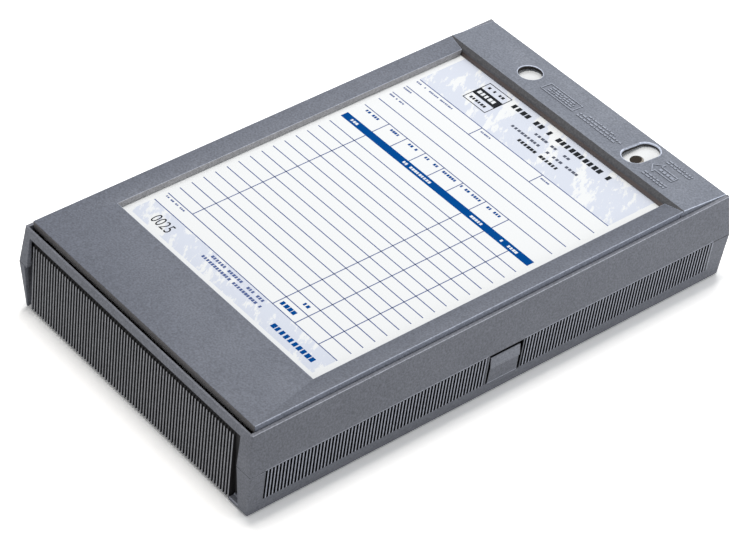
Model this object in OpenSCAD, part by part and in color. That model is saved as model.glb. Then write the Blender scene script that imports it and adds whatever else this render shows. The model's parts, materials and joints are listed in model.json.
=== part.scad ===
// Form register: a portable writing case that feeds fan-fold forms over a writing plate.
// The near end, with the ribbed panel, faces -Y. The head bar lies across the far end.
// The origin is on the table, at the middle of the bounding box.

/* [Case] */
// Width of the case beside the form, at its parting line
side_w = 13.9; // [13:0.1:22]
// Length of the case in front of its packs
near_room = 38.8; // [37:0.1:60]
// Height of the lower case, from its bottom edge to the parting line
base_h = 23.5; // [22.5:0.5:32]
// Height of the upper housing, from the parting line to its rim
housing_h = 19.7; // [18.5:0.1:26]
// Wall thickness of the two case halves
wall = 2.2; // [1.8:0.1:2.4]
// Thickness of the floor
floor_t = 2.2; // [1.8:0.1:3]
// Inward lean of the lower case's sides, over their whole height
base_draft = 2.95; // [1.5:0.05:3.5]
// Inward lean of the upper housing's sides, over their whole height
housing_draft = 2.45; // [1.5:0.05:3]
// Width of the flat that breaks the case's upright corners
corner_flat = 0.6; // [0.4:0.1:1.4]

/* [Rim and lid frame] */
// Width of the housing's rim beside the lid frame
rim_w = 1.7; // [1.3:0.1:2.2]
// Gap between the rim and the lid frame
lid_gap = 0.3; // [0.2:0.05:0.5]
// Height of the lid frame above the rim
lid_rise = 2.6; // [2.2:0.1:3.4]
// Fall of the lid frame's top towards its window
lid_dip = 1.35; // [0.6:0.05:1.6]
// Length of the lid frame's near panel
panel_len = 36.8; // [30:0.1:50]
// Open slot between the lid frame and the housing's near strip
near_slot = 1.9; // [1.7:0.1:2.4]
// Wall thickness of the lid frame
lid_wall = 1.5; // [1.2:0.1:1.6]
// Depth of the lid frame's near skirt
skirt_h = 3.7; // [3:0.1:4]

/* [Head bar] */
// Length of the head bar's top, from near edge to far edge
bar_len = 25; // [24:0.1:30]
// Fall of the head bar's top towards its far edge
bar_fall = 2.5; // [1.5:0.1:2.6]
// Diameter of the round sight hole
sight_d = 11.6; // [8:0.1:14]
// Distance of the sight hole's centre from the form's left edge
sight_edge = 32.75; // [20:0.05:45]
// Distance of the sight hole's centre from the bar's near edge
sight_in = 11.7; // [10:0.1:14]
// Width of the feed slot
feed_w = 11.4; // [9:0.1:14]
// Length of the feed slot
feed_len = 19.3; // [16:0.1:20]
// Distance of the feed slot's middle from the form's right edge
feed_edge = 33.35; // [20:0.05:45]
// Distance of the feed slot's near end from the bar's near edge
feed_in = 3.75; // [3:0.05:4.5]

/* [Form] */
// Width of the form
form_w = 139.7; // [100:0.1:220]
// Length of the form between its folds
form_len = 215.9; // [170:0.1:300]
// Width of the form's edge that the lid frame covers
form_cover = 0.7; // [0.5:0.1:2]
// Thickness of the form set
form_t = 0.3; // [0.2:0.05:0.4]
// Diameter of the form's punched hole
punch_d = 6.4; // [5:0.1:7]
// Folded layers in the supply pack
supply_layers = 12; // [6:2:12]
// Folded layers in the filed copies
filed_layers = 6; // [2:2:6]
// Thickness of one folded layer in either pack
layer_t = 1.05; // [0.8:0.05:1.1]

/* [Writing plate and roller] */
// Thickness of the writing plate
plate_t = 1.2; // [1:0.1:1.4]
// Depth of the writing plate's top below the rim
plate_drop = 2.2; // [2:0.1:2.6]
// Diameter of the guide roller
roller_d = 8; // [7:0.1:9]
// Diameter of the roller's axle
axle_d = 3; // [2:0.1:3.4]
// Radial clearance of a turning fit
run_gap = 0.06; // [0.03:0.01:0.1]

/* [End panel and grips] */
// Space between the ribs of the end panel, centre to centre
rib_pitch = 2; // [1.6:0.1:3]
// Width of one rib of the end panel
rib_w = 0.9; // [0.6:0.05:1.2]
// Distance of the end panel's left end from the case's side
panel_left_in = 4.55; // [4.5:0.05:6]
// Distance of the end panel's right end from the case's side
panel_right_in = 10.05; // [9.85:0.05:14]
// Thickness of the end panel behind its ribs
panel_t = 1.6; // [1.2:0.1:2]
// Space between the grip grooves, centre to centre
grip_pitch = 1.77; // [1.5:0.01:3]
// Width of one grip groove
grip_w = 0.9; // [0.6:0.05:1.1]
// Depth of the grip grooves
grip_depth = 1.2; // [0.4:0.05:1.2]

/* [Latches, hinges and feet] */
// Width of the press latch
latch_w = 17.6; // [12:0.1:20]
// Thickness of the press latch
latch_t = 1.9; // [1.5:0.1:2]
// Gap round the press latch
latch_gap = 0.5; // [0.4:0.05:0.8]
// Radius of the cover hinge's knuckles
knuckle_r = 2.4; // [2.2:0.1:2.8]
// Diameter of the cover hinge's pins
hinge_pin_d = 2.4; // [1.6:0.1:2.6]
// Diameter of the lid frame's hinge pins
lid_pin_d = 1.4; // [1:0.1:1.5]
// Height of the feet below the case
foot_stand = 0.8; // [0.5:0.1:2]
// Diameter of the feet
foot_d = 12; // [8:0.5:14]

/* [Hidden] */

$fn = 48;

// Heights of the case's main levels
z_foot = foot_stand;
z_floor = z_foot + floor_t;
z_part = z_foot + base_h;
z_rim = z_part + housing_h;
z_lid = z_rim + lid_rise;
z_dip = z_lid - lid_dip;
z_plate = z_rim - plate_drop;
z_form = z_plate + form_t;
z_bed = z_plate - plate_t;

// Lean of the end walls
base_near_in = 0.6;
base_far_in = 1.7;
housing_near_in = 2.6;
housing_far_in = 0.5;
strip_w = 0.9;
far_wall = wall;

// The case is as wide and as long as the form and what lies round it
pack_far_gap = 2.5;
case_w = form_w + 2 * side_w;
case_len = near_room + form_len + pack_far_gap + base_far_in + wall;

// The hinge knuckles stand out behind the case, so the case lies a little towards -Y
hinge_gap = 0.3;
hinge_out = hinge_gap + knuckle_r;
near_y = -(case_len + hinge_out) / 2;
far_y = near_y + case_len;
middle_y = (near_y + far_y) / 2;

// Half-widths of the case
half_part = case_w / 2;
half_foot = half_part - base_draft;
half_rim = half_part - housing_draft;
half_lid = half_rim - rim_w - lid_gap;
half_form = form_w / 2;
half_window = half_form - form_cover;

// Half-width of the lower case, and of the upper housing, at a height
function base_x(z) = half_foot + base_draft * (z - z_foot) / base_h;
function housing_x(z) = half_part - housing_draft * (z - z_part) / housing_h;
// Half-width of the space inside the upper housing at a height
function hollow_x(z) = half_part - wall
    - (half_part - wall - half_rim + rim_w) * (z - z_part) / housing_h;
// Inside of the upper housing's near wall at a height
function hollow_near(z) = near_y + wall
    + (housing_near_in + strip_w - wall) * (z - z_part) / housing_h;

// Lid frame and head bar, from the near end to the far end
lid_y = near_y + housing_near_in + strip_w + near_slot;
window_y = lid_y + panel_len;
bar_end_y = far_y - 0.9;
bar_y = bar_end_y - bar_len;
bar_lip_in = 1.7;
bar_foot_in = 3;
bar_clear = 0.9;
bar_cut_y = bar_y - 5;
seam = 0.3;
bar_end_gap = 0.15;
bar_tip_z = z_lid - bar_fall;
bar_skin = 1.5;
feed_y = bar_y + feed_in + feed_len / 2;
feed_x = half_form - feed_edge;
sight_x = sight_edge - half_form;
cheek_w = half_lid - half_form - 0.95;

// Tear strip in the foot of the head bar's near face
tear_t = 0.5;
tear_gap = 0.3;
tear_h = 1.85;
tear_half = half_form + 0.6;
tear_y = bar_y - bar_foot_in;
tear_lean = (bar_foot_in - bar_lip_in) / (z_dip - z_plate);

// Lid hinge
lid_hinge_y = lid_y + 3.1;
lid_hinge_z = z_lid - 3.2;
lug_r = 1.4;
ear_r = 1.6;
lug_w = 1.2;
ear_w = 1.7;
lug_side_gap = 0.25;
lug_out = half_lid - lid_wall - 0.35 - lug_w;
ear_in = lug_out - lug_side_gap - ear_w;
lug_in = ear_in - lug_side_gap - lug_w;
lug_block_z = z_plate - 1.8;

// Guide roller
roller_y = near_y + 13;
roller_z = z_plate - roller_d / 2;
roller_half = half_form + 0.4;
clip_gap = 0.15;
clip_t = 0.5;
axle_ear_in = roller_half + clip_t + 2 * clip_gap;
axle_ear_w = 2.6;

// Writing plate
plate_near_y = roller_y + roller_d / 2 + 1.5;
plate_far_y = far_y - far_wall - 0.5;
plate_half = hollow_x(z_plate) - 0.6;
plate_lip_r = 2.2;
lip_half = axle_ear_in - 0.3;
// The screws stand in the middle of the space under the rail
plate_screw_x = (half_window + half_lid) / 2;
shelf_in = plate_screw_x - 2.3;
shelf_h = 3;
shelf_end_y = bar_y - 3;

// Press latch and its keeper
latch_root_h = 5.8;
latch_step_h = 14.6;
latch_off = 3.05;
latch_y = middle_y + latch_off;
latch_root_z = z_foot + latch_root_h;
latch_top_z = z_part - 0.3;
latch_proud = 0.5;
hook_t = 1.2;
hook_side_gap = 1.5;
keeper_rise = 1.5;
keeper_h = 1.2;
keeper_t = 1;
keeper_clear = 0.2;

// Grip grooves
grip_foot_h = 6.5;
grip_rest = 7.9;
grip_end = 10;
grip_plain = 1.1;

// End panel
panel_top_z = z_plate - 1.2;
panel_foot_z = z_foot + 0.4;
panel_face_top = 4.6;
panel_face_foot = 3.9;
crest_top = 3.4;
crest_foot = 0.7;
crest_top_h = 34;
rib_margin = 5.7;
lintel_z = z_rim - 4.4;
panel_left = half_part - panel_left_in;
panel_right = half_part - panel_right_in;
post_gap = 0.4;
post_left = panel_left - 1.7;
post_right = panel_right + 0.6;
sill_h = 1.6;
sill_gap = 0.5;
notch_gap = 0.3;
rib_side_gap = 0.2;
flange_end = 15;
flange_gap = 0.1;
panel_screw_y = near_y + flange_end - 3;
panel_bite = 1;

// Small screws: self-tapping, with a flat head and a straight slot
screw_r = 1.1;
head_r = 2;
head_h = 1.1;
slot_w = 0.6;
slot_depth = 0.5;
screw_play = 0.15;

// Places of the repeated small parts
foot_side_in = 14;
foot_near_in = 20;
foot_far_in = 18;
foot_xy = [for (sx = [-1, 1], y = [near_y + foot_near_in, far_y - foot_far_in])
    [sx * (half_foot - foot_side_in), y]];
plate_screw_y = [plate_near_y + 7.5, middle_y, shelf_end_y - 8];
bar_screw_y = [bar_y + 6, bar_y + 17];
bar_screw_x = half_lid - cheek_w / 2;
panel_screw_h = [28.6, 34];
wall_lean = atan((half_part - wall - half_rim + rim_w) / housing_h);

// Fan-fold packs
supply_y = near_y + near_room;
supply_top_z = z_floor + supply_layers * layer_t;
divider_t = 1;
form_rest = 0.02;
punch_in = 7.45;
punch_y = bar_y + feed_in + punch_in;
divider_z = supply_top_z + 1.2;
divider_near_y = supply_y + 5.2;
divider_far_y = far_y - 9;
divider_foot_w = 6;
divider_screw_near = 18;
divider_screw_far = 21;
divider_screw_y = [divider_near_y + divider_screw_near, divider_far_y - divider_screw_far];
boss_r = 2.2;
boss_h = 1;
divider_end_x = base_x(z_floor) - wall - 0.3;
divider_screw_x = divider_end_x - head_r + 0.3;
divider_half = divider_screw_x - boss_r;
filed_y = supply_y - 0.8;
filed_top_z = divider_z + divider_t + filed_layers * layer_t;

// Hinge knuckles along X: [low, high] for the case and for the housing
hinge_side_in = 33.75;
hinge_x = half_part - hinge_side_in;
base_knuckle = [-5, 5];
housing_knuckle_w = 8;
knuckle_gap = 0.3;
hinge_y = far_y + hinge_gap;

case_grey = [0.42, 0.43, 0.46];
lid_grey = [0.49, 0.51, 0.54];
bar_grey = [0.55, 0.57, 0.61];
panel_grey = [0.2, 0.2, 0.21];
paper_white = [0.95, 0.95, 0.93];
steel = [0.66, 0.67, 0.69];

// Prism along X from an outline drawn in (y, z)
module along_x(x0, x1) {
    translate([x0, 0, 0]) rotate([90, 0, 90]) linear_extrude(x1 - x0) children();
}

// Prism along Y from an outline drawn in (x, z)
module along_y(y0, y1) {
    translate([0, y1, 0]) rotate([90, 0, 0]) linear_extrude(y1 - y0) children();
}

module block(x0, x1, y0, y1, z0, z1) {
    translate([x0, y0, z0]) cube([x1 - x0, y1 - y0, z1 - z0]);
}

module rod_x(x0, x1, y, z, r) {
    translate([x0, y, z]) rotate([0, 90, 0]) cylinder(r = r, h = x1 - x0);
}

module both_sides() {
    children();
    mirror([1, 0, 0]) children();
}

// Block whose four sides lean: half-widths, near ends and far ends at its two levels
module leaning_block(z0, z1, half0, half1, near0, near1, far0, far1) {
    widest = max(half0, half1) + 1;
    intersection() {
        along_y(min(near0, near1) - 1, max(far0, far1) + 1)
            polygon([[-half0, z0], [half0, z0], [half1, z1], [-half1, z1]]);
        along_x(-widest, widest)
            polygon([[near0, z0], [far0, z0], [far1, z1], [near1, z1]]);
    }
}

// Flats that break the two right upright corners, which lean by given amounts over height h
module corner_cuts(x, z, h, near, far, lean_x, near_lean, far_lean) {
    translate([x, near, z]) rotate([atan(-near_lean / h), atan(lean_x / h), 0])
        rotate([0, 0, -45]) block(-corner_flat / 2, 5, -5, 5, -2, h + 2);
    translate([x, far, z]) rotate([atan(-far_lean / h), atan(lean_x / h), 0])
        rotate([0, 0, 45]) block(-corner_flat / 2, 5, -5, 5, -2, h + 2);
}

// Screw with its head's seat at the origin and its shank along -Z
module screw(len) {
    difference() {
        union() {
            cylinder(r = head_r, h = head_h);
            translate([0, 0, -len]) cylinder(r = screw_r, h = len);
        }
        translate([-head_r - 1, -slot_w / 2, head_h - slot_depth]) cube([2 * head_r + 2, slot_w, 1]);
    }
}

// Comb that lies along +Y: a spine on the +X side with teeth that reach to -X
function comb(count, pitch, tooth, depth, spine) = concat(
    [[spine, -pitch], [spine, count * pitch]],
    [for (i = [count - 1:-1:0], k = [0:3])
        [k == 0 || k == 3 ? 0 : -depth, i * pitch + (k < 2 ? tooth : 0)]],
    [[0, -pitch]]);

// Cutter for one run of grip grooves in the right side of the lower case
module grip_cut(from_y, to_y) {
    foot_z = z_foot + grip_foot_h;
    lean = atan(base_draft / base_h);
    count = floor((to_y - from_y) / grip_pitch);
    translate([base_x(foot_z), from_y, foot_z]) rotate([0, lean, 0])
        linear_extrude((z_part + 0.5 - foot_z) / cos(lean))
            polygon(comb(count, grip_pitch, grip_w, grip_depth, 2));
}

module base_knuckles(r, grow) {
    for (x = [-hinge_x, hinge_x])
        rod_x(x + base_knuckle[0] - grow, x + base_knuckle[1] + grow, hinge_y, z_part, r);
}

module housing_knuckles(r, grow) {
    for (x = [-hinge_x, hinge_x], side = [-1, 1]) {
        middle = x + side * (base_knuckle[1] + knuckle_gap + housing_knuckle_w / 2);
        half = housing_knuckle_w / 2 + grow;
        rod_x(middle - half, middle + half, hinge_y, z_part, r);
    }
}

module hinge_bore(r) {
    reach = base_knuckle[1] + knuckle_gap + housing_knuckle_w;
    for (x = [-hinge_x, hinge_x]) rod_x(x - reach - 1, x + reach + 1, hinge_y, z_part, r);
}

// Lower case: an open tray with leaning walls, grip grooves, latch openings and no near wall
module base_tray() {
    opening_x = [-panel_left - post_gap, post_right];
    color(case_grey) difference() {
        union() {
            difference() {
                leaning_block(z_foot, z_part, half_foot, half_part,
                    near_y + base_near_in, near_y, far_y - base_far_in, far_y);
                leaning_block(z_floor, z_part + 1, base_x(z_floor) - wall, base_x(z_part + 1) - wall,
                    near_y + wall, near_y + wall, far_y - base_far_in - wall, far_y - wall);
                both_sides() corner_cuts(half_foot, z_foot, base_h, near_y + base_near_in,
                    far_y - base_far_in, base_draft, -base_near_in, base_far_in);
                // Near opening, with the sill at its right end
                block(opening_x[0], opening_x[1], near_y - 1, near_y + wall + 1, z_foot + sill_h, z_part + 1);
                block(opening_x[0], panel_right - rib_margin + sill_gap, near_y - 1,
                    near_y + panel_face_top + panel_t + 0.5, z_foot - 1, z_part + 1);
                both_sides() {
                    grip_cut(near_y + grip_rest, latch_y - latch_w / 2 - grip_plain);
                    grip_cut(latch_y + latch_w / 2 + grip_plain, far_y - grip_end);
                    block(half_foot - wall - 2, half_part + 1,
                        latch_y - latch_w / 2 - latch_gap, latch_y + latch_w / 2 + latch_gap,
                        latch_root_z, z_part + 1);
                }
                for (p = foot_xy) translate([p[0], p[1], z_foot - 1]) cylinder(d = foot_d + 0.2, h = 2);
                housing_knuckles(knuckle_r + 0.25, knuckle_gap);
            }
            base_knuckles(knuckle_r, 0);
            both_sides() for (y = divider_screw_y)
                translate([divider_screw_x, y, z_floor - 0.5]) cylinder(r = boss_r, h = boss_h + 0.5);
        }
        hinge_bore(hinge_pin_d / 2);
        both_sides() for (y = divider_screw_y)
            translate([divider_screw_x, y, z_foot + 0.8]) cylinder(r = screw_r, h = floor_t + boss_h);
    }
}

// Round rubber feet, each seated in a shallow pocket
module foot_pads() {
    color([0.12, 0.12, 0.12]) for (p = foot_xy)
        translate([p[0], p[1], 0]) cylinder(d = foot_d, h = foot_stand + 1);
}

module cover_hinge_pins() {
    reach = base_knuckle[1] + knuckle_gap + housing_knuckle_w;
    color(steel) for (x = [-hinge_x, hinge_x])
        rod_x(x - reach, x + reach, hinge_y, z_part, hinge_pin_d / 2);
}

// Fan-fold pack: one web folded back and forth, so the slits between layers open at alternate ends
module fan_fold(y0, z0, layers) {
    slit = 0.2;
    fold = 0.8;
    difference() {
        block(-half_form, half_form, y0, y0 + form_len, z0, z0 + layers * layer_t);
        for (i = [1:layers - 1]) {
            shift = i % 2 == 0 ? -fold : fold;
            block(-half_form - 1, half_form + 1, y0 + shift, y0 + form_len + shift,
                z0 + i * layer_t - slit / 2, z0 + i * layer_t + slit / 2);
        }
    }
}

module supply_pack() {
    color(paper_white) fan_fold(supply_y, z_floor, supply_layers);
}

module filed_copies() {
    color(paper_white) fan_fold(filed_y, divider_z + divider_t, filed_layers);
}

// Sheet-metal shelf that bridges the supply pack and carries the filed copies
module divider_plate() {
    foot_z = z_floor + boss_h;
    color(steel) difference() {
        union() {
            block(-divider_half, divider_half, divider_near_y, divider_far_y, divider_z, divider_z + divider_t);
            both_sides() {
                block(divider_half - divider_t, divider_half, divider_near_y, divider_far_y,
                    foot_z, divider_z + divider_t);
                for (y = divider_screw_y) block(divider_half - divider_t, divider_end_x,
                    y - divider_foot_w / 2, y + divider_foot_w / 2, foot_z, foot_z + divider_t);
            }
        }
        both_sides() for (y = divider_screw_y)
            translate([divider_screw_x, y, foot_z - 1]) cylinder(r = screw_r + screw_play, h = divider_t + 2);
    }
}

module divider_screws() {
    color(steel) both_sides() for (y = divider_screw_y)
        translate([divider_screw_x, y, z_floor + boss_h + divider_t]) screw(divider_t + boss_h + 1);
}

// Press latch: the lower half follows the case, the upper half stands upright and proud
module latch() {
    step_z = z_foot + latch_step_h;
    root_x = base_x(latch_root_z);
    proud_x = base_x(step_z) + latch_proud;
    inner_x = proud_x - latch_t;
    hook_z = z_part + keeper_rise + keeper_h + 0.3;
    hook_x = hollow_x(hook_z) - keeper_t - keeper_clear;
    stem_x = hook_x - 0.5;
    union() {
        along_y(latch_y - latch_w / 2, latch_y + latch_w / 2)
            polygon([[root_x - latch_t, latch_root_z], [root_x, latch_root_z], [base_x(step_z), step_z],
                [proud_x, step_z + 0.5], [proud_x, latch_top_z - 0.5], [proud_x - 0.5, latch_top_z],
                [inner_x, latch_top_z], [inner_x, step_z]]);
        along_y(latch_y - latch_w / 2 + hook_side_gap, latch_y + latch_w / 2 - hook_side_gap)
            polygon([[inner_x - 0.8, step_z], [inner_x + 0.4, step_z], [inner_x + 0.4, latch_top_z - 1.2],
                [stem_x, z_part + 0.4], [stem_x, hook_z], [hook_x, hook_z], [stem_x, hook_z + 1.4],
                [stem_x - hook_t, hook_z + 1.4], [stem_x - hook_t, z_part - 1]]);
    }
}

module latch_right() {
    color(case_grey) latch();
}

module latch_left() {
    color(case_grey) mirror([1, 0, 0]) latch();
}

// Upper housing: leaning walls, a narrow rim, inner shelves and the near opening under its strip
module upper_housing() {
    low_z = z_part + keeper_rise;
    high_z = low_z + keeper_h;
    color(case_grey) difference() {
        union() {
            difference() {
                leaning_block(z_part, z_rim, half_part, half_rim,
                    near_y, near_y + housing_near_in, far_y, far_y - housing_far_in);
                leaning_block(z_part - 1, z_rim + 1, hollow_x(z_part - 1), hollow_x(z_rim + 1),
                    hollow_near(z_part - 1), hollow_near(z_rim + 1), far_y - far_wall, far_y - far_wall);
                both_sides() corner_cuts(half_part, z_part, housing_h, near_y, far_y,
                    -housing_draft, housing_near_in, -housing_far_in);
                block(-post_left, post_right, near_y - 1, near_y + 6, z_part - 1, lintel_z);
                // The far wall stops below the form and the head bar
                block(-half_lid - bar_end_gap, half_lid + bar_end_gap, far_y - far_wall - 1, far_y + 1,
                    z_plate - 0.3, z_rim + 1);
                base_knuckles(knuckle_r + 0.25, knuckle_gap);
            }
            housing_knuckles(knuckle_r, 0);
            both_sides() {
                // Side shelf under the writing plate
                block(shelf_in, hollow_x(z_bed) + 0.5, plate_near_y - 0.5, shelf_end_y, z_bed - shelf_h, z_bed);
                // Keeper that the latch's hook stands under
                along_y(latch_y - latch_w / 2, latch_y + latch_w / 2)
                    polygon([[hollow_x(low_z) + 0.5, low_z - 0.3], [hollow_x(low_z) - keeper_t, low_z],
                        [hollow_x(high_z) - keeper_t, high_z], [hollow_x(high_z) + 0.5, high_z + 0.3]]);
                roller_support();
            }
            block(-shelf_in, shelf_in, far_y - far_wall - 3, far_y - far_wall + 0.5, z_bed - shelf_h, z_bed);
        }
        hinge_bore(hinge_pin_d / 2 + run_gap);
        both_sides() {
            for (y = plate_screw_y) translate([plate_screw_x, y, z_bed - shelf_h - 1])
                cylinder(r = screw_r, h = shelf_h + 2);
            rod_x(axle_ear_in - 1, axle_ear_in + axle_ear_w, roller_y, roller_z, axle_d / 2);
            rod_x(lug_in - 1, lug_out + lug_w + 1, lid_hinge_y, lid_hinge_z, lid_pin_d / 2);
            at_panel_screws() translate([0, 0, -panel_t - flange_gap - panel_bite])
                cylinder(r = screw_r, h = panel_t + flange_gap + panel_bite);
        }
    }
}

// Block beside the roller, with the axle's ear below and the lid hinge's two lugs above
module roller_support() {
    block(axle_ear_in, hollow_x(lug_block_z) + 0.5, near_y + 8.5, plate_near_y + 0.5,
        z_bed - shelf_h, lug_block_z);
    block(axle_ear_in, axle_ear_in + axle_ear_w, near_y + 9.5, near_y + 16.5,
        roller_z - 3.2, z_bed - shelf_h + 0.5);
    for (x = [lug_in, lug_out]) {
        rod_x(x, x + lug_w, lid_hinge_y, lid_hinge_z, lug_r);
        block(x, x + lug_w, lid_hinge_y, near_y + 16, lid_hinge_z - lug_r + 0.15, lid_hinge_z + 0.3);
        block(x, x + lug_w, near_y + 12.5, near_y + 16, lug_block_z - 0.5, lid_hinge_z + 0.3);
    }
}

// Ribbed end panel: a plain plate with tapering ribs, held by two side flanges
module end_panel() {
    lean = atan((panel_face_top - panel_face_foot) / (panel_top_z - panel_foot_z));
    count = floor((panel_left + panel_right - rib_margin - rib_side_gap) / rib_pitch);
    crest_top_z = z_foot + crest_top_h;
    face_foot_y = near_y + panel_face_foot;
    face_top_y = near_y + panel_face_top;
    wide_z = z_part + 1.2;
    color(panel_grey) difference() {
        union() {
            along_x(-panel_left, panel_right)
                polygon([[face_foot_y, panel_foot_z], [face_top_y, panel_top_z],
                    [face_top_y + panel_t, panel_top_z], [face_foot_y + panel_t, panel_foot_z]]);
            intersection() {
                along_x(-panel_left, panel_right - rib_margin)
                    polygon([[near_y + crest_foot, panel_foot_z], [near_y + crest_top, crest_top_z],
                        [face_top_y + 0.2, crest_top_z + 0.8], [face_foot_y + 0.2, panel_foot_z]]);
                translate([0, face_foot_y + 0.4, panel_foot_z - 0.2]) rotate([-lean, 0, 0])
                    linear_extrude(crest_top_h + 3) for (i = [0:count - 1])
                        translate([panel_right - rib_margin - rib_w - i * rib_pitch, -8])
                            square([rib_w, 8]);
            }
            both_sides() panel_flange(wide_z);
            // Wings that join the plate to the side flanges
            along_x(panel_right - 1, hollow_x(panel_top_z) - flange_gap - 0.4)
                polygon([[face_foot_y + panel_t - 0.4, wide_z], [face_top_y + 0.2, panel_top_z],
                    [face_top_y + panel_t, panel_top_z], [face_foot_y + panel_t + 1.2, wide_z]]);
        }
        block(panel_right - rib_margin + rib_side_gap, panel_right + 1, near_y, near_y + 8,
            z_foot - 1, z_floor + notch_gap);
        both_sides() at_panel_screws() translate([0, 0, -panel_t - 1])
            cylinder(r = screw_r + screw_play, h = panel_t + 2);
    }
}

// Side flange that lies along the housing's leaning wall
module panel_flange(low_z) {
    high_z = lug_block_z - 3.5;
    low_x = hollow_x(low_z) - flange_gap;
    high_x = hollow_x(high_z) - flange_gap;
    along_y(near_y + panel_face_foot + 1.2, near_y + flange_end)
        polygon([[low_x - panel_t, low_z], [low_x, low_z], [high_x, high_z], [high_x - panel_t, high_z]]);
}

// Places of the right flange's screws, with +Z out of the flange's inner face
module at_panel_screws() {
    for (h = panel_screw_h)
        translate([hollow_x(z_foot + h) - flange_gap - panel_t, panel_screw_y, z_foot + h])
            rotate([0, -90 - wall_lean, 0]) children();
}

module panel_screws() {
    color(steel) both_sides() at_panel_screws() screw(panel_t + flange_gap + panel_bite);
}

// Writing plate: flat sheet with a rolled near edge and an opening below the feed slot
module writing_plate() {
    color(steel) difference() {
        union() {
            block(-plate_half, plate_half, plate_near_y + plate_lip_r, plate_far_y, z_bed, z_plate);
            intersection() {
                difference() {
                    rod_x(-lip_half, lip_half, plate_near_y + plate_lip_r, z_plate - plate_lip_r, plate_lip_r);
                    rod_x(-shelf_in, shelf_in, plate_near_y + plate_lip_r, z_plate - plate_lip_r, plate_lip_r - plate_t);
                }
                block(-plate_half, plate_half, plate_near_y - 1, plate_near_y + plate_lip_r + 0.01,
                    z_plate - plate_lip_r, z_plate + 1);
            }
        }
        slot_prism(feed_w + 1, feed_len + 1, z_bed - 1, z_plate + 1);
        both_sides() {
            for (y = plate_screw_y) translate([plate_screw_x, y, z_bed - 1])
                cylinder(r = screw_r + screw_play, h = plate_t + 2);
            for (y = bar_screw_y) translate([bar_screw_x, y, z_bed - 1])
                cylinder(r = screw_r + screw_play, h = plate_t + 2);
        }
    }
}

module plate_screws() {
    color(steel) both_sides() for (y = plate_screw_y)
        translate([plate_screw_x, y, z_plate]) screw(plate_t + shelf_h - 0.4);
}

// Upright prism with round ends, long along Y, at the feed slot's place
module slot_prism(w, len, z0, z1) {
    reach = (len - w) / 2;
    for (side = [-1, 1]) translate([feed_x, feed_y + side * reach, z0]) cylinder(d = w, h = z1 - z0);
    block(feed_x - w / 2, feed_x + w / 2, feed_y - reach, feed_y + reach, z0, z1);
}

// Slanting near face of the head bar in (y, z), from its foot to its top edge
function bar_face(gap) = [[bar_y - bar_foot_in - gap, z_plate], [bar_y - bar_lip_in - gap, z_dip], [bar_y - gap, z_lid]];

// Head bar: a bridge over the form with a slanting near face, a sight hole and the feed slot
module head_bar() {
    skirt_z = z_form + bar_clear;
    color(bar_grey) difference() {
        along_x(-half_lid, half_lid)
            polygon(concat(bar_face(0), [[bar_end_y, bar_tip_z], [bar_end_y, z_plate]]));
        along_x(-half_lid + cheek_w, half_lid - cheek_w)
            polygon([[bar_cut_y, z_plate - 1], [bar_end_y + 1, z_plate - 1],
                [bar_end_y + 1, bar_tip_z - bar_skin], [bar_y + 1.2, z_lid - 2.5],
                [bar_y - 0.6, skirt_z], [bar_cut_y, skirt_z]]);
        translate([sight_x, bar_y + sight_in, z_plate - 1]) cylinder(d = sight_d, h = z_lid - z_plate + 2);
        slot_prism(feed_w, feed_len, z_plate - 1, z_lid + 1);
        along_x(-tear_half, tear_half) polygon(tear_outline(1));
        both_sides() for (y = bar_screw_y)
            translate([bar_screw_x, y, z_plate - 1]) cylinder(r = screw_r, h = 2.6);
    }
}

// Outline of the tear strip in (y, z), with its near face moved out by an amount
function tear_outline(out) =
    let (foot = z_form + tear_gap, foot_y = tear_y + tear_lean * (foot - z_plate), top_y = foot_y + tear_lean * tear_h)
    [[foot_y - out, foot], [foot_y + tear_t, foot], [top_y + tear_t, foot + tear_h], [top_y - out, foot + tear_h]];

// Steel strip that holds the form down and tears it off, set into the head bar's near face
module tear_strip() {
    color(steel) along_x(-tear_half, tear_half) polygon(tear_outline(0));
}

module head_bar_screws() {
    color(steel) both_sides() for (y = bar_screw_y)
        translate([bar_screw_x, y, z_bed]) mirror([0, 0, 1]) screw(plate_t + 1.5);
}

module lid_hinge_pins() {
    color(steel) both_sides() rod_x(lug_in, lug_out + lug_w, lid_hinge_y, lid_hinge_z, lid_pin_d / 2);
}

module roller_axle() {
    end = axle_ear_in + axle_ear_w - 0.1;
    color(steel) rod_x(-end, end, roller_y, roller_z, axle_d / 2);
}

// Open clips on the axle, one at each end of the roller
module axle_clips() {
    inner = roller_half + clip_gap;
    outer = inner + clip_t;
    color(steel) both_sides() difference() {
        rod_x(inner, outer, roller_y, roller_z, axle_d / 2 + 1.2);
        rod_x(inner - 1, outer + 1, roller_y, roller_z, axle_d / 2);
        block(inner - 1, outer + 1, roller_y - 0.9, roller_y + 0.9, roller_z - 4, roller_z);
    }
}

// Roller tube that turns on the axle
module guide_roller() {
    color([0.18, 0.18, 0.19]) difference() {
        rod_x(-roller_half, roller_half, roller_y, roller_z, roller_d / 2);
        rod_x(-roller_half - 1, roller_half + 1, roller_y, roller_z, axle_d / 2 + run_gap);
    }
}

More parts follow.
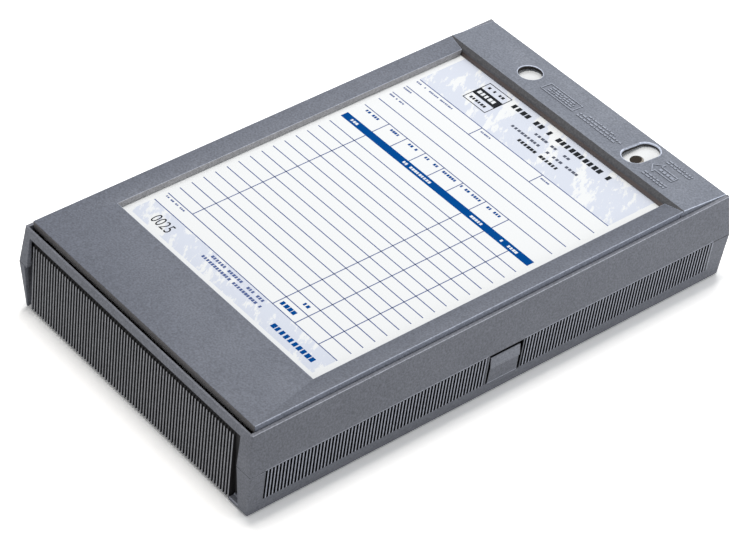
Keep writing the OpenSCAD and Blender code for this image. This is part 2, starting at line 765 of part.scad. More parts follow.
// Web from the supply pack, up and round the roller to the level of the writing plate
module web_lead() {
    r0 = roller_d / 2 + form_rest;
    r1 = r0 + form_t;
    start_y = supply_y + 1;
    start_z = supply_top_z + 0.6;
    reach = norm([start_y - roller_y, start_z - roller_z]);
    tangent = atan2(start_z - roller_z, start_y - roller_y) + 360 - acos(r0 / reach);
    steps = 14;
    turn = [for (i = [0:steps]) 90 + (tangent - 90) * i / steps];
    along = [cos(tangent - 90), sin(tangent - 90)];
    out = [cos(tangent), sin(tangent)];
    color(paper_white) along_x(-half_form, half_form) polygon(concat(
        [for (a = turn) [roller_y + r1 * cos(a), roller_z + r1 * sin(a)]],
        [[start_y + form_t * out[0], start_z + form_t * out[1]], [start_y, start_z]],
        [for (i = [steps:-1:0]) [roller_y + r0 * cos(turn[i]), roller_z + r0 * sin(turn[i])]]));
}

// The form set on the writing plate, with its punched hole in the feed slot
module form_sheet() {
    color(paper_white) difference() {
        block(-half_form, half_form, roller_y + 0.3, bar_end_y - 0.7, z_plate + form_rest, z_form);
        translate([feed_x, punch_y, z_plate - 1]) cylinder(d = punch_d, h = 3);
    }
}

// Section of the right rail in (x, z): outer wall, falling top and inner wall
function rail_section(foot_z) = [
    [half_lid, foot_z], [half_lid, z_lid], [half_window, z_dip], [half_window, z_form + 0.15],
    [half_window + lid_wall, z_form + 0.15], [half_window + lid_wall, z_dip - lid_wall + 0.2],
    [half_lid - lid_wall, z_lid - lid_wall - 0.2], [half_lid - lid_wall, foot_z]];

// Lid frame: one moulding with a near panel and two side rails, open to the head bar
module lid_frame() {
    skirt_z = z_lid - skirt_h;
    rail_foot = z_plate + 0.1;
    hidden_end = bar_y - 6;
    color(lid_grey) difference() {
        union() {
            both_sides() {
                along_y(lid_y + 5, bar_y + 1) polygon(rail_section(rail_foot));
                along_y(lid_y, lid_y + 5.5) polygon(rail_section(skirt_z));
                along_y(hidden_end, bar_y + 1) polygon([[half_lid, rail_foot], [half_lid, z_lid],
                    [half_window, z_dip], [half_window, z_form + 0.15], [half_form + 0.4, z_form + 0.15],
                    [half_form + 0.4, rail_foot]]);
                rod_x(ear_in, ear_in + ear_w, lid_hinge_y, lid_hinge_z, ear_r);
                block(ear_in, ear_in + ear_w, lid_hinge_y - ear_r, lid_hinge_y + ear_r,
                    lid_hinge_z, z_lid - lid_wall);
            }
            along_x(-half_lid, half_lid) polygon([[lid_y, skirt_z], [lid_y, z_lid], [window_y, z_dip],
                [window_y, z_form + 0.15], [window_y - lid_wall, z_form + 0.15],
                [window_y - lid_wall, z_dip - lid_wall + 0.05], [lid_y + lid_wall, z_lid - lid_wall - 0.05],
                [lid_y + lid_wall, skirt_z]]);
        }
        along_x(-half_lid - 1, half_lid + 1)
            polygon(concat(bar_face(seam), [[bar_y - seam, z_lid + 1], [bar_end_y, z_lid + 1], [bar_end_y, z_plate]]));
        both_sides() {
            rod_x(ear_in - 1, ear_in + ear_w + 1, lid_hinge_y, lid_hinge_z, lid_pin_d / 2 + run_gap);
            // Room over the housing's lugs
            for (x = [lug_in, lug_out]) rod_x(x - lug_side_gap, x + lug_w + lug_side_gap,
                lid_hinge_y, lid_hinge_z, lug_r + lug_side_gap);
        }
    }
}

base_tray();
foot_pads();
cover_hinge_pins();
supply_pack();
divider_plate();
divider_screws();
filed_copies();
latch_right();
latch_left();
upper_housing();
end_panel();
panel_screws();
writing_plate();
plate_screws();
head_bar();
tear_strip();
head_bar_screws();
lid_hinge_pins();
roller_axle();
axle_clips();
guide_roller();
web_lead();
form_sheet();
lid_frame();
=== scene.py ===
import json
import math

import bmesh
import bpy
import numpy as np
from mathutils import Matrix, Vector


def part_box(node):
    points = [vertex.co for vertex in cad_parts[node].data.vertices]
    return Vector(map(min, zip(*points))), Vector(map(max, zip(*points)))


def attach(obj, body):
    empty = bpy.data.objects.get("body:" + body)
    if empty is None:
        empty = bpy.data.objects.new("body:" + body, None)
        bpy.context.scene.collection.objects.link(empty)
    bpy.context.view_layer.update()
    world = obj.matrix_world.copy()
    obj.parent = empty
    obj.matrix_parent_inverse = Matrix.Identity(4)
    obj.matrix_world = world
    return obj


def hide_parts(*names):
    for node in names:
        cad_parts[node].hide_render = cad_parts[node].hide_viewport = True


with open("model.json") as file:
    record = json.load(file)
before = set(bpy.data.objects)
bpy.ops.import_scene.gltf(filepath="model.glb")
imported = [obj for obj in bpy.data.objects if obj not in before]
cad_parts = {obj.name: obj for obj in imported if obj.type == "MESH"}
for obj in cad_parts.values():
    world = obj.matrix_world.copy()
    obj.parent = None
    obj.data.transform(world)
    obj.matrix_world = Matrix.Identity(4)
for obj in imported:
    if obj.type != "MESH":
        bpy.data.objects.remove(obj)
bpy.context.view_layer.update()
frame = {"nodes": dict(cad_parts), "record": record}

MM = 0.001

# Camera. It stands in front of the case's near right corner, 1.36 m away and 40 degrees above
# the table, with a long lens and a slight roll, as the photograph was taken.
camera_turn = math.radians(50.422)
camera_rise = math.radians(40.152)
camera_roll = math.radians(2.303)
camera_target = Vector((2.726, -5.190, 16.651)) * MM
camera_away = 1362.19 * MM
film_width = 36
focal_length = 150.7

back = Vector((math.sin(camera_turn) * math.cos(camera_rise),
               -math.cos(camera_turn) * math.cos(camera_rise),
               math.sin(camera_rise)))
level = Vector((0, 0, 1)).cross(back).normalized()
upright = back.cross(level)
right = level * math.cos(camera_roll) + upright * math.sin(camera_roll)
top = upright * math.cos(camera_roll) - level * math.sin(camera_roll)
lens = bpy.data.cameras.new("camera")
lens.sensor_width = film_width
lens.lens = focal_length
lens.clip_start = 0.05
lens.clip_end = 20
camera = bpy.data.objects.new("camera", lens)
camera.matrix_world = Matrix.Translation(camera_target + back * camera_away) @ Matrix(
    (right, top, back)).transposed().to_4x4()
bpy.context.scene.collection.objects.link(camera)
bpy.context.scene.camera = camera
bpy.context.scene.view_settings.view_transform = "Standard"

# Studio: a white table top, an even pale surround and four soft lamps: one overhead, one over the
# far left that the left rail mirrors, a low one on the right for the side wall, and a low weak one
# in front of the near end.
table_width = 6.0
table_tone = 0.78
table_seen_tone = (1.62, 1.59, 1.55)
whiter_reach = (0.35, 1.4)
whiter_times = (1, 3)
surround_light = 0.36
surround_colour = (0.94, 0.97, 1.0, 1)
top_lamp_watts = 5.5
far_lamp_watts = 2.2
right_lamp_watts = 1.75
near_lamp_watts = 0.7

world = bpy.data.worlds.new("surround")
world.use_nodes = True
sky = world.node_tree.nodes["Background"]
sky.inputs["Color"].default_value = surround_colour
sky.inputs["Strength"].default_value = surround_light
bpy.context.scene.world = world


def soft_lamp(name, place, aim, width, watts, colour):
    """Square lamp at a place, turned so that it faces the aim point."""
    light = bpy.data.lights.new(name, "AREA")
    light.shape = "SQUARE"
    light.size = width
    light.energy = watts
    light.color = colour
    lamp = bpy.data.objects.new(name, light)
    away = Vector(place) - Vector(aim)
    turn = away.to_track_quat("Z", "Y").to_matrix().to_4x4()
    lamp.matrix_world = Matrix.Translation(Vector(place)) @ turn
    bpy.context.scene.collection.objects.link(lamp)


soft_lamp("top_lamp", (-0.1, 0.015, 1.1), (0, 0, 0), 0.34, top_lamp_watts, (1.0, 0.99, 0.98))
soft_lamp("far_lamp", (-0.38, 0.55, 0.72), (0, 0.05, 0), 0.4, far_lamp_watts, (0.96, 0.98, 1.0))
soft_lamp("right_lamp", (0.6, 0.6, 0.25), (0, 0, 0), 0.35, right_lamp_watts, (0.92, 0.96, 1.0))
soft_lamp("near_lamp", (0.15, -0.85, 0.24), (0, 0, 0), 0.3, near_lamp_watts, (0.96, 0.98, 1.0))


def set_inputs(tree, node, inputs):
    """Feeds a node's inputs, given by name or number: an output socket is linked, and anything
    else is written there as the input's own value."""
    for name, value in inputs.items():
        if isinstance(value, bpy.types.NodeSocket):
            tree.links.new(value, node.inputs[name])
        else:
            node.inputs[name].default_value = value


def new_node(tree, kind, inputs, operation=None):
    """Node of a kind with its inputs and, where it has one, its operation."""
    node = tree.nodes.new(kind)
    if operation:
        node.operation = operation
    set_inputs(tree, node, inputs)
    return node


def object_place(tree):
    """Place on the surface, in Object coordinates."""
    return new_node(tree, "ShaderNodeTexCoord", {}).outputs["Object"]


def ranged(tree, value, before, after):
    """Value carried from one range (low, high) to another, and held at its ends."""
    inputs = {"Value": value, "From Min": before[0], "From Max": before[1],
              "To Min": after[0], "To Max": after[1]}
    return new_node(tree, "ShaderNodeMapRange", inputs).outputs["Result"]


def mixed(tree, share, first, second, blend="MIX"):
    """Colour from two colours by a share. A Mix node of colours takes them at inputs 0, 6 and 7."""
    node = tree.nodes.new("ShaderNodeMix")
    node.data_type = "RGBA"
    node.blend_type = blend
    set_inputs(tree, node, {0: share, 6: first, 7: second})
    return node.outputs[2]


def grey(tone):
    """Opaque neutral colour of one tone."""
    return (tone, tone, tone, 1)


table_mesh = bpy.data.meshes.new("table_top")
half_table = table_width / 2
table_mesh.from_pydata([(-half_table, -half_table, 0), (half_table, -half_table, 0),
                        (half_table, half_table, 0), (-half_table, half_table, 0)], [], [(0, 1, 2, 3)])
table_top = bpy.data.objects.new("table_top", table_mesh)
bpy.context.scene.collection.objects.link(table_top)
table_paint = bpy.data.materials.new("table_paint")
table_paint.use_nodes = True
tree = table_paint.node_tree
tree.nodes.remove(tree.nodes["Principled BSDF"])
# Away from the part the seen tone rises, so that the table looks white right to the horizon
reach = new_node(tree, "ShaderNodeVectorMath", {0: object_place(tree)}, "LENGTH").outputs["Value"]
rise = ranged(tree, reach, whiter_reach, whiter_times)
whiter = new_node(tree, "ShaderNodeVectorMath", {0: table_seen_tone, "Scale": rise}, "SCALE")
camera_ray = new_node(tree, "ShaderNodeLightPath", {}).outputs["Is Camera Ray"]
tone = mixed(tree, camera_ray, grey(table_tone), whiter.outputs["Vector"])
matt = new_node(tree, "ShaderNodeBsdfDiffuse", {"Color": tone})
tree.links.new(matt.outputs[0], tree.nodes["Material Output"].inputs["Surface"])
table_mesh.materials.append(table_paint)

# Lower case: one moulding of matt grey plastic with leaning walls, grip grooves and an open near
# end. The mould's spark-eroded surface gives it a fine grain, and its upward rounded edges carry a painted
# highlight.
case_colour = (0.205, 0.211, 0.240)
groove_shade_colour = (0.005, 0.005, 0.006)
case_edge_rounds = (0.5 * MM, 0.2 * MM)
case_edge_shortest = 4 * MM
grain_step = 0.85 * MM
grain_depth = 0.05 * MM
blotch_scale = 45
noise_reach = (0.3, 0.7)
fine_tones = (0.76, 1.24)
slow_tones = (0.96, 1.04)
grain_roughness = (0.62, 0.46)


def math_of(tree, operation, *values):
    """Result of a Math node: an operation over sockets or plain numbers."""
    return new_node(tree, "ShaderNodeMath", dict(enumerate(values)), operation).outputs[0]


def noise(tree, place, scale, detail, roughness=0.5):
    """Value of a noise texture at a place."""
    inputs = {"Vector": place, "Scale": scale, "Detail": detail, "Roughness": roughness}
    return new_node(tree, "ShaderNodeTexNoise", inputs).outputs["Fac"]


def grain_group():
    """Node group of the grain: fine noise for height and tone, slow noise for tone and gloss."""
    group = bpy.data.node_groups.new("moulded_grain", "ShaderNodeTree")
    for name in ("Tone", "Height", "Roughness"):
        group.interface.new_socket(name, in_out="OUTPUT", socket_type="NodeSocketFloat")
    place = object_place(group)
    fine = noise(group, place, 1 / grain_step, 3)
    slow = noise(group, place, blotch_scale, 4, 0.6)
    tone = math_of(group, "MULTIPLY", ranged(group, fine, noise_reach, fine_tones),
                   ranged(group, slow, noise_reach, slow_tones))
    roughness = ranged(group, slow, noise_reach, grain_roughness)
    new_node(group, "NodeGroupOutput", {"Tone": tone, "Height": fine, "Roughness": roughness})
    return group


moulded_grain = grain_group()


def new_material(name):
    """New material, with its node tree and its Principled shader."""
    material = bpy.data.materials.new(name)
    material.use_nodes = True
    return material, material.node_tree, material.node_tree.nodes["Principled BSDF"]


def relief(tree, strength, depth, height):
    """Normal of a bump over a height."""
    inputs = {"Strength": strength, "Distance": depth, "Height": height}
    return new_node(tree, "ShaderNodeBump", inputs).outputs["Normal"]


def moulded_plastic(name, colour, bump=0.6, shine=0.4):
    """Matt plastic: the colour times the grain's tone, with the grain's height as bump."""
    material, tree, shader = new_material(name)
    grain = tree.nodes.new("ShaderNodeGroup")
    grain.node_tree = moulded_grain
    set_inputs(tree, shader, {
        "Base Color": mixed(tree, 1, (*colour, 1), grain.outputs["Tone"], "MULTIPLY"),
        "Roughness": grain.outputs["Roughness"],
        "Specular IOR Level": shine,
        "Normal": relief(tree, bump, grain_depth, grain.outputs["Height"])})
    material.diffuse_color = (*colour, 1)
    return material


def times(colour, factor):
    """Colour with each of its channels times a factor."""
    return tuple(channel * factor for channel in colour)


def face_values(mesh, name, width=1):
    """One value, or width values, of each face of a mesh as a numpy array."""
    kind = np.int32 if name == "material_index" else np.float32
    values = np.zeros(len(mesh.polygons) * width, kind)
    mesh.polygons.foreach_get(name, values)
    return values.reshape(-1, width) if width > 1 else values


merge_reach = 0.002 * MM
flat_angle = math.radians(0.4)
corner_angle = math.radians(35)
corner_room = 2.1
crease_angle = math.radians(28)
shallow_crease = math.radians(1)
broad_face = 60 * MM * MM
# A face's tilt towards an axis is the part of its unit normal that points along the axis
highlight_tilt = 0.3
square_tilt = 0.9


def softened(node, widths, shortest, kept=None, rims=()):
    """Copy of a CAD node: doubles merged, flat faces joined, and its sharp edges longer than
    shortest rounded over the first of the widths for which there is room at both their ends, apart
    from those that kept names by their middle. The short edges round an opening whose middle rims
    names are cut back too. The rounded faces that look upwards take slot 1, which carries a painted
    highlight, and the rest slot 0."""
    shape = bmesh.new()
    shape.from_mesh(frame["nodes"][node].data)
    bmesh.ops.remove_doubles(shape, verts=shape.verts, dist=merge_reach)
    bmesh.ops.dissolve_limit(shape, angle_limit=flat_angle, verts=shape.verts, edges=shape.edges)
    for inside, width in rims:
        round_rim = [edge for edge in shape.edges
                     if edge.is_manifold and edge.calc_face_angle() > corner_angle
                     and inside((edge.verts[0].co + edge.verts[1].co) / 2)]
        bmesh.ops.bevel(shape, geom=round_rim, offset=width, offset_type="OFFSET", segments=2,
                        profile=0.5, affect="EDGES", clamp_overlap=False, material=1)
    for width in widths:
        turning = [edge for edge in shape.edges
                   if edge.is_manifold and edge.calc_length() > shortest
                   and edge.calc_face_angle() > corner_angle
                   and all(near.calc_length() > corner_room * width
                           for vert in edge.verts for near in vert.link_edges)
                   and not (kept and kept((edge.verts[0].co + edge.verts[1].co) / 2))]
        if turning:
            bmesh.ops.bevel(shape, geom=turning, offset=width, offset_type="OFFSET", segments=3,
                            profile=0.5, affect="EDGES", clamp_overlap=True, material=1)
    # Curved parts are shaded smooth, but the shallow creases between broad flat faces stay sharp
    for face in shape.faces:
        face.smooth = True
    for edge in shape.edges:
        turn = edge.calc_face_angle(math.pi)
        broad = all(face.calc_area() > broad_face for face in edge.link_faces)
        edge.smooth = not (turn > crease_angle or (broad and turn > shallow_crease))
    mesh = bpy.data.meshes.new(node)
    shape.to_mesh(mesh)
    shape.free()
    # Upward rounded faces get slot 1, where a painted highlight lies
    upward = face_values(mesh, "normal", 3)[:, 2] > highlight_tilt
    highlighted = upward & (face_values(mesh, "material_index") == 1)
    mesh.polygons.foreach_set("material_index", highlighted.astype(np.int32))
    return mesh


def coat(mesh, looks, *coats):
    """Sets each face's slot in a list of looks. A coat is a mask of faces, or True for all, and
    their look, and a later coat lies over the earlier ones. Uncoated faces keep their slot."""
    slots = face_values(mesh, "material_index")
    for mask, look in coats:
        slots = np.where(mask, looks.index(look), slots)
    mesh.polygons.foreach_set("material_index", slots.astype(np.int32))


def fitted(name, mesh, body, slot, looks, *nodes):
    """Object that rides on a body and stands for CAD nodes. Its slot argument is not used."""
    for look in looks:
        mesh.materials.append(look)
    piece = bpy.data.objects.new(name, mesh)
    bpy.context.scene.collection.objects.link(piece)
    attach(piece, body)
    if nodes:
        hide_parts(*nodes)


# The grip grooves lie 0.2 to 1.3 mm below the side walls' outer face, and their insides are painted near
# black as shade
side_foot = 80.8 * MM
side_lean = 2.95 / 23.5
foot_level = 0.8 * MM
groove_low = 7 * MM
groove_high = 24.25 * MM
groove_ends = ((-124.0 * MM, -8.2 * MM), (11.6 * MM, 119.4 * MM))
groove_pitch = 1.77 * MM
groove_share = 0.9 / 1.77
groove_reach = 1.4 * MM
groove_slack = 0.2 * MM
# Painted shade on the lands' rims, and painted highlights on the lands' middles and on the band above the
# rows
land_rim_shade_reach = 0.15 * MM
land_rim_shade_tone = 0.3
land_highlight_tone = 2.3
band_highlight_low = 24.35 * MM
band_highlight_high = 24.85 * MM
band_highlight_tone = 2.1
latch_middle = 1.7 * MM
opening_half = 9.3 * MM
opening_foot = 6.6 * MM
opening_slack = 0.25 * MM
opening_tilt = 0.7
parting_low = 23.6 * MM
parting_reach = 0.6 * MM
parting_edge_tilt = 0.15
parting_shade_tilt = 0.6


def side_depth(x, z):
    """Depth below the side wall's outer face, side_foot + side_lean (z - foot_level) - |x|."""
    return side_foot + side_lean * (z - foot_level) - abs(x)


def among_grips(point):
    """Whether a point lies in the band of the grip grooves, from the outer face to their floor."""
    return (-groove_slack / 2 < side_depth(point[0], point[2]) < groove_reach
            and groove_low < point[2] < groove_high + groove_slack
            and any(low - groove_slack < point[1] < high + groove_slack for low, high in groove_ends))


def at_latch(point):
    """Whether a point lies on the edges or sides of a press latch's opening, above its foot."""
    off_edge = abs(abs(point[1] - latch_middle) - opening_half)
    return off_edge < opening_slack and point[2] > opening_foot


def within(tree, value, low, high):
    """1 where a value lies from low to high, and 0 elsewhere."""
    return math_of(tree, "COMPARE", value, (low + high) / 2, (high - low) / 2)


def paint_lit_lands(material):
    """Changes a plastic's tone in the band of the grip grooves, by Object coordinates: a painted
    highlight lightens the middle of each land, where (y - row's start) / pitch has a fraction past the
    groove's share, and painted shade darkens the lands' rims next to the grooves. Above the rows a painted
    highlight lightens a band too."""
    tree = material.node_tree
    shader = tree.nodes["Principled BSDF"]
    place = new_node(tree, "ShaderNodeSeparateXYZ", {0: object_place(tree)}).outputs
    rim = land_rim_shade_reach / groove_pitch
    rows = 0.0
    lands = 0.0
    for low, high in groove_ends:
        row = within(tree, place["Y"], low, high)
        steps = math_of(tree, "DIVIDE", math_of(tree, "SUBTRACT", place["Y"], low), groove_pitch)
        land = within(tree, math_of(tree, "FRACT", steps), groove_share + rim, 1 - rim)
        rows = math_of(tree, "ADD", row, rows)
        lands = math_of(tree, "ADD", math_of(tree, "MULTIPLY", row, land), lands)
    band = math_of(tree, "MULTIPLY", rows, within(tree, place["Z"], groove_low, groove_high))
    edge = math_of(tree, "MULTIPLY", rows, within(tree, place["Z"], band_highlight_low, band_highlight_high))
    colour = shader.inputs["Base Color"].links[0].from_socket
    tone = mixed(tree, lands, grey(land_rim_shade_tone), grey(land_highlight_tone))
    colour = mixed(tree, band, colour, tone, "MULTIPLY")
    colour = mixed(tree, edge, colour, grey(band_highlight_tone), "MULTIPLY")
    tree.links.new(colour, shader.inputs["Base Color"])


case_plastic = moulded_plastic("case_plastic", case_colour)
# Painted highlight: the upward rounded edges at 2.3 times the case's tone
case_highlight = moulded_plastic("case_highlight", times(case_colour, 2.3), 0.3, 0.8)
# Painted shade: near black for the grooves' insides, the latch gaps and the parting line
groove_shade = moulded_plastic("groove_shade", groove_shade_colour, 0.6, 0.15)
case_looks = [case_plastic, case_highlight, groove_shade]
paint_lit_lands(case_plastic)
case_mesh = softened("base_tray", case_edge_rounds, case_edge_shortest,
                     lambda point: among_grips(point) or at_latch(point))
facing = face_values(case_mesh, "normal", 3)
middles = face_values(case_mesh, "center", 3)
depth = side_depth(middles[:, 0], middles[:, 2])
shaded_faces = np.array([among_grips(middle) for middle in middles]) & (depth > groove_slack)
# The gap round each press latch is painted as dark as the grooves, as shade
shaded_faces |= np.array([at_latch(middle) for middle in middles]) & (np.abs(facing[:, 1]) > opening_tilt)
# The parting line is painted dark as shade, and the edge just below it carries a painted highlight
at_parting = (middles[:, 2] > parting_low) & (np.abs(depth) < parting_reach) & ~shaded_faces
coat(case_mesh, case_looks, (shaded_faces, groove_shade),
     (at_parting & (facing[:, 2] > parting_edge_tilt), case_highlight),
     (at_parting & (facing[:, 2] > parting_shade_tilt), groove_shade))
fitted("lower_case", case_mesh, "case", "case_plastic", case_looks, "base_tray")

# Press latches: springy tongues moulded in the case's own plastic, one in each side wall. Their
# proud upper halves carry a painted highlight, and so does a thin band at their foot.
latch_upper_lit = moulded_plastic("latch_upper_lit", times(case_colour, 1.35), 0.4, 0.5)
latch_lower = moulded_plastic("latch_lower", case_colour)
latch_looks = [latch_upper_lit, latch_lower, groove_shade, case_highlight]
latch_edge_rounds = (0.3 * MM, 0.15 * MM)
latch_edge_shortest = 1.5 * MM
latch_narrower = 0.92
latch_step = 15.7 * MM
foot_line = 7.2 * MM
tongue_top = 23.2 * MM
tongue_inner = 81.0 * MM
tongue_shorter = 1.8 * MM
tongue_top_tilt = 0.8
foot_highlight_tilt = 0.5


def vertex_places(mesh):
    """Places of a mesh's vertices as rows of x, y and z."""
    places = np.zeros(len(mesh.vertices) * 3)
    mesh.vertices.foreach_get("co", places)
    return places.reshape(-1, 3)


for side in ("right", "left"):
    latch_mesh = softened(f"latch_{side}", latch_edge_rounds, latch_edge_shortest)
    shape = bmesh.new()
    shape.from_mesh(latch_mesh)
    bmesh.ops.bisect_plane(shape, geom=shape.verts[:] + shape.edges[:] + shape.faces[:],
                           plane_co=(0, 0, foot_line), plane_no=(0, 0, 1))
    shape.to_mesh(latch_mesh)
    shape.free()
    # The tongue is drawn in at its sides and its top, so that the gap round it shows
    places = vertex_places(latch_mesh)
    places[:, 1] = latch_middle + (places[:, 1] - latch_middle) * latch_narrower
    at_top = (places[:, 2] > tongue_top) & (np.abs(places[:, 0]) > tongue_inner)
    places[:, 2] -= tongue_shorter * at_top
    latch_mesh.vertices.foreach_set("co", places.ravel())
    facing = face_values(latch_mesh, "normal", 3)
    height = face_values(latch_mesh, "center", 3)[:, 2]
    # The tongue's sides and top are painted dark as shade in the gap round it
    edgewise = (np.abs(facing[:, 1]) > square_tilt) | (facing[:, 2] > tongue_top_tilt)
    foot_highlight = (height < foot_line) & (np.abs(facing[:, 0]) > foot_highlight_tilt)
    coat(latch_mesh, latch_looks, (True, latch_upper_lit), (height < latch_step, latch_lower),
         (edgewise, groove_shade), (foot_highlight, case_highlight))
    fitted(f"press_latch_{side}", latch_mesh, f"latch_{side}", "case_plastic", latch_looks, f"latch_{side}")

# Upper housing: the same grey plastic as the lower case, moulded in one with its rim, its near
# strip and corner posts, the shelves for the writing plate and the lugs of the lid frame. The near
# strip's edges carry no painted highlight.
near_strip_y = -126 * MM
housing_edge_rounds = (0.6 * MM, 0.2 * MM)
housing_looks = [case_plastic, case_highlight]
housing_mesh = softened("upper_housing", housing_edge_rounds, case_edge_shortest)
in_strip = face_values(housing_mesh, "center", 3)[:, 1] <= near_strip_y
coat(housing_mesh, housing_looks, (in_strip, case_plastic))
fitted("housing", housing_mesh, "cover", "case_plastic", housing_looks, "upper_housing")

# End panel: a dark moulded plate with upright ribs, screwed to the housing by its side flanges.
# The ribs' crests carry a painted highlight in light grey on their forward faces, and the grooves
# stay black. The plate's face leans by 0.7 mm over the panel's height of 39.4 mm.
panel_colour = (0.022, 0.021, 0.022)
crest_highlight_colour = (0.36, 0.36, 0.38)
plate_behind = 3.2 * MM
plate_lean = 0.7 / 39.4
crest_proud = 0.3 * MM
crest_tilt = 0.8
panel_edge_rounds = (0.12 * MM,)
panel_edge_shortest = 8 * MM
panel_plastic = moulded_plastic("panel_plastic", panel_colour)
crest_highlight = moulded_plastic("crest_highlight", crest_highlight_colour)
panel_looks = [panel_plastic, crest_highlight]
panel_mesh = softened("end_panel", panel_edge_rounds, panel_edge_shortest)
panel_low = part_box("end_panel")[0]
facing = face_values(panel_mesh, "normal", 3)
middles = face_values(panel_mesh, "center", 3)
plate_front = panel_low.y + plate_behind + (middles[:, 2] - panel_low.z) * plate_lean
lit_crests = (facing[:, 1] < -crest_tilt) & (middles[:, 1] < plate_front - crest_proud)
coat(panel_mesh, panel_looks, (True, panel_plastic), (lit_crests, crest_highlight))
fitted("ribbed_panel", panel_mesh, "cover", "panel_plastic", panel_looks, "end_panel")

# Lid frame: near panel and two side rails in one moulding, hinged at its near end. Its plastic
# is a little darker and bluer than the case's.
lid_colour = (0.156, 0.167, 0.202)
inner_lit_colour = (0.32, 0.315, 0.325)
near_warm_colour = (0.16, 0.15, 0.15)
rail_outer_x = 79 * MM
rail_inner_x = 69.8 * MM
rail_inner_low = 42 * MM
rail_top_x = 69.5 * MM
rail_top_low = 45 * MM
rail_inner_tilt = 0.7
rail_top_tilt = 0.95
lid_edge_rounds = (0.35 * MM, 0.2 * MM)
lid_edge_shortest = 3 * MM
lid_plastic = moulded_plastic("lid_plastic", lid_colour)
# Painted highlight on the lid's upward rounded edges, 2.6 times its tone
lid_highlight = moulded_plastic("lid_highlight", times(lid_colour, 2.6), 0.3, 0.8)
lid_sides_lit = moulded_plastic("lid_sides_lit", times(lid_colour, 1.5))
lid_inner_lit = moulded_plastic("lid_inner_lit", inner_lit_colour)
rail_top_shade = moulded_plastic("rail_top_shade", times(lid_colour, 0.92))
lid_near_warm = moulded_plastic("lid_near_warm", near_warm_colour)
lid_looks = [lid_plastic, lid_highlight, lid_sides_lit, lid_inner_lit, rail_top_shade, lid_near_warm]
lid_mesh = softened("lid_frame", lid_edge_rounds, lid_edge_shortest)
facing = face_values(lid_mesh, "normal", 3)
middles = face_values(lid_mesh, "center", 3)
off_middle = np.abs(middles[:, 0])
# The rails' outer sides are painted lighter as light, and their inner sides painted pale as light bounced
# from the form
outer = (np.abs(facing[:, 0]) > square_tilt) & (off_middle > rail_outer_x)
inside = (off_middle < rail_inner_x) & (middles[:, 2] > rail_inner_low)
inner = (np.abs(facing[:, 0]) > rail_inner_tilt) & inside
# The right rail's top is painted darker as shade
unhighlighted = face_values(lid_mesh, "material_index") == 0
broad = np.array([face.area for face in lid_mesh.polygons]) > broad_face
level_top = (facing[:, 2] > rail_top_tilt) & (middles[:, 2] > rail_top_low)
right_rail_shaded = (middles[:, 0] > rail_top_x) & level_top & unhighlighted & broad
# The near panel's front has a browner tone painted in as warm reflected light, and its edges carry no
# painted highlight
near_end = (middles[:, 1] < near_strip_y) & ~outer
nearmost = (middles[:, 1] < near_strip_y) & (facing[:, 1] < -square_tilt)
coat(lid_mesh, lid_looks, (outer, lid_sides_lit), (inner, lid_inner_lit), (right_rail_shaded, rail_top_shade),
     (near_end, lid_plastic), (nearmost, lid_near_warm))
fitted("lid", lid_mesh, "lid", "lid_plastic", lid_looks, "lid_frame")

# Head bar: a bridge over the form, moulded in the palest of the three greys, with a sight hole
# and the feed slot. Two screws from below hold each of its cheeks to the writing plate.
bar_colour = (0.215, 0.230, 0.272)
bar_face_colour = (0.092, 0.091, 0.096)
hole_wall_shade_colour = (0.022, 0.019, 0.018)
bar_top_y = (103.3, 128.3)
bar_top_z = (46.6, 44.1)
bar_fall = (bar_top_z[0] - bar_top_z[1]) / (bar_top_y[1] - bar_top_y[0])
bar_top_slack = 0.1 * MM
bar_side = 79.0 * MM
bar_face_reach = 3.1 * MM
sight_place = (-37.1 * MM, 115.0 * MM)
sight_reach = 6.2 * MM
slot_low = (30.4 * MM, 106.6 * MM)
slot_high = (42.6 * MM, 126.8 * MM)
bar_edge_rounds = (0.4 * MM,)
bar_edge_shortest = 3 * MM
hole_cut = 0.35 * MM
slot_cut = 0.7 * MM
side_cut = 0.3 * MM
bar_face_tilt = 0.5
hole_wall_tilt = 0.4
chamfer_tilts = (0.2, 0.97)
end_edge_tilt = 0.2


def in_hole(x, y):
    """Whether a place, or each of many, lies inside the sight hole's rim."""
    return np.hypot(x - sight_place[0], y - sight_place[1]) < sight_reach


def in_slot(x, y):
    """Whether a place, or each of many, lies inside the feed slot's rim."""
    return (x > slot_low[0]) & (x < slot_high[0]) & (y > slot_low[1]) & (y < slot_high[1])


def on_top(point):
    """Whether a point lies on the bar's falling top, z = 46.6 - 0.1 (y - 103.3) mm."""
    top = bar_top_z[0] * MM - bar_fall * (point.y - bar_top_y[0] * MM)
    return abs(point.z - top) < bar_top_slack


hole_rim = (lambda point: in_hole(point.x, point.y) and on_top(point), hole_cut)
slot_rim = (lambda point: in_slot(point.x, point.y) and on_top(point), slot_cut)
side_rim = (lambda point: abs(point.x) > bar_side and on_top(point), side_cut)
bar_mesh = softened("head_bar", bar_edge_rounds, bar_edge_shortest, rims=(hole_rim, slot_rim, side_rim))
bar_plastic = moulded_plastic("bar_plastic", bar_colour)
